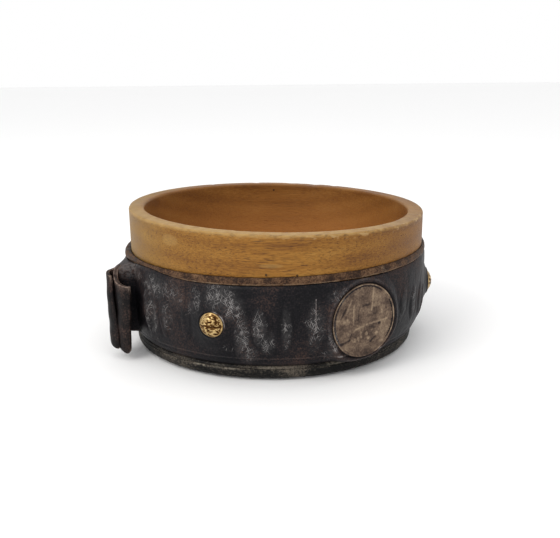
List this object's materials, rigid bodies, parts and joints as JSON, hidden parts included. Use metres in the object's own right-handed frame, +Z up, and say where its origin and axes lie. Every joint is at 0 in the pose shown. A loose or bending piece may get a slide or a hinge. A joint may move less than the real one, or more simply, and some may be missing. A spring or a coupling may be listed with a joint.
{
  "type": "leather-covered wooden drinking cup",
  "caption": "Turned wooden cup with a straight wall in a moulded leather cover, with set coins, domed brass nails and a curled leather lug at the side.",
  "frame": {"origin": "centre of the flat underside that the cup stands on, on the cup's turning axis", "axes": "+Z up along the cup's turning axis, -Y towards the front with one nail and one coin, -X towards the lug"},
  "size_m": [0.1253, 0.117, 0.0533],
  "materials": {
    "turned_wood": "oiled, worn, fine dark pores",
    "cover_leather": "near-black, scuffed and scratched",
    "binding_leather": "brown, rubbed",
    "coin_bronze": "brown bronze, worn relief",
    "nail_brass": "aged gold colour, chased"
  },
  "bodies": {
    "cup": {"wood_bowl": "turned_wood", "leather_sleeve": "cover_leather", "top_binding": "binding_leather", "bottom_welt": "binding_leather", "leather_base": "cover_leather", "coin_front": "coin_bronze", "coin_rear": "coin_bronze", "brass_nail_1": "nail_brass", "brass_nail_2": "nail_brass", "brass_nail_3": "nail_brass", "nail_pad_1": "cover_leather", "nail_pad_2": "cover_leather", "nail_pad_3": "cover_leather", "lug_root": "cover_leather"},
    "lug": {"lug_curl": "cover_leather", "lug_roll": "cover_leather"}
  },
  "joints": [
    {"name": "lug_flex", "type": "hinge", "parent": "cup", "child": "lug", "pos_m": [-0.0586, -0.0236, 0.02], "axis": [0, 0, 1], "range_deg": [-12, 12], "stiffness_Nm_per_rad": 0.5}
  ]
}
